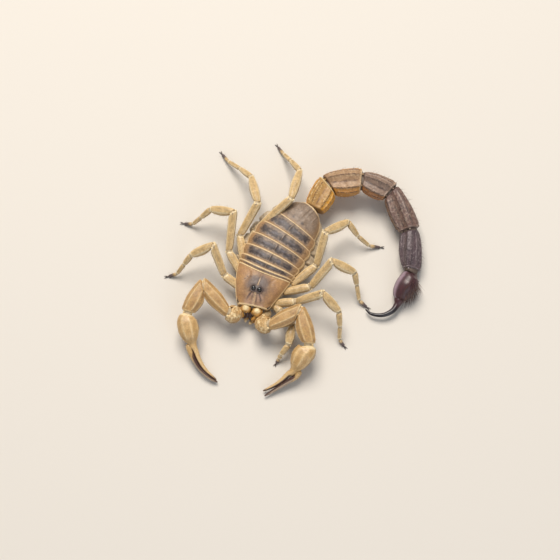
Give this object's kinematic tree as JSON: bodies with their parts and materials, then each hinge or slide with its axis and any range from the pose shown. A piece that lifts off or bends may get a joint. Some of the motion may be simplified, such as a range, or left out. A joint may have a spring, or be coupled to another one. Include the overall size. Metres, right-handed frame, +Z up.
{
  "type": "desert scorpion",
  "caption": "Life-size still model of a thick-tailed desert scorpion at rest, claws forward, legs spread and tail curled flat to one side.",
  "frame": {"origin": "on the ground, in the middle of the footprint", "axes": "+Z up; the head looks towards -Y; the animal's left side is +X"},
  "size_m": [0.0666, 0.0726, 0.0106],
  "materials": {
    "carapace_shell": "finely granular horny shell, satin, tan with slate shading",
    "back_shell": "finely granular horny plates, satin, slate bands on tan with cream rims",
    "underside_shell": "smooth pale horny plates and folded skin, satin",
    "straw_shell": "thin straw-coloured shell, slightly translucent, soft gloss",
    "palm_shell": "smooth golden shell of the claw hands, soft gloss",
    "amber_shell": "smooth amber mouthparts, glossy",
    "dark_finger": "dark brown claw fingers with toothed edges, glossy",
    "eye_lens": "black polished eye lens",
    "tail_gold": "granular golden shell with raised keels, satin",
    "tail_tan": "granular tan shell with raised keels, satin",
    "tail_brown": "granular grey-brown shell with raised keels, satin",
    "tail_mauve": "granular mauve-brown shell with raised keels, satin",
    "tail_dark": "granular dark purple-brown shell with raised keels, satin",
    "telson_shell": "smooth maroon-brown bulb of the sting, glossy",
    "sting_tip": "smooth blue-black sting, glossy"
  },
  "bodies": {
    "root": {"carapace": "carapace_shell", "median_eye_left": "eye_lens", "median_eye_right": "eye_lens", "coxae_sternum": "underside_shell", "tergite_1": "back_shell", "tergite_2": "back_shell", "tergite_3": "back_shell", "tergite_4": "back_shell", "tergite_5": "back_shell", "tergite_6": "back_shell", "tergite_7": "back_shell", "belly": "underside_shell", "pectine_left": "underside_shell", "pectine_right": "underside_shell", "chelicera_left": "amber_shell", "chelicera_right": "amber_shell", "pedipalp_left_trochanter": "straw_shell", "pedipalp_left_femur": "straw_shell", "pedipalp_left_patella": "straw_shell", "pedipalp_left_palm": "palm_shell", "pedipalp_left_movable_finger": "dark_finger", "pedipalp_right_trochanter": "straw_shell", "pedipalp_right_femur": "straw_shell", "pedipalp_right_patella": "straw_shell", "pedipalp_right_palm": "palm_shell", "pedipalp_right_movable_finger": "dark_finger", "leg_left_1_femur": "straw_shell", "leg_left_1_patella": "straw_shell", "leg_left_1_foot": "straw_shell", "leg_left_2_femur": "straw_shell", "leg_left_2_patella": "straw_shell", "leg_left_2_foot": "straw_shell", "leg_left_3_femur": "straw_shell", "leg_left_3_patella": "straw_shell", "leg_left_3_foot": "straw_shell", "leg_left_4_femur": "straw_shell", "leg_left_4_patella": "straw_shell", "leg_left_4_foot": "straw_shell", "leg_right_1_femur": "straw_shell", "leg_right_1_patella": "straw_shell", "leg_right_1_foot": "straw_shell", "leg_right_2_femur": "straw_shell", "leg_right_2_patella": "straw_shell", "leg_right_2_foot": "straw_shell", "leg_right_3_femur": "straw_shell", "leg_right_3_patella": "straw_shell", "leg_right_3_foot": "straw_shell", "leg_right_4_femur": "straw_shell", "leg_right_4_patella": "straw_shell", "leg_right_4_foot": "straw_shell", "tail_1": "tail_gold", "tail_2": "tail_tan", "tail_3": "tail_brown", "tail_4": "tail_mauve", "tail_5": "tail_dark", "telson_vesicle": "telson_shell", "telson_sting": "sting_tip"}
  },
  "joints": []
}
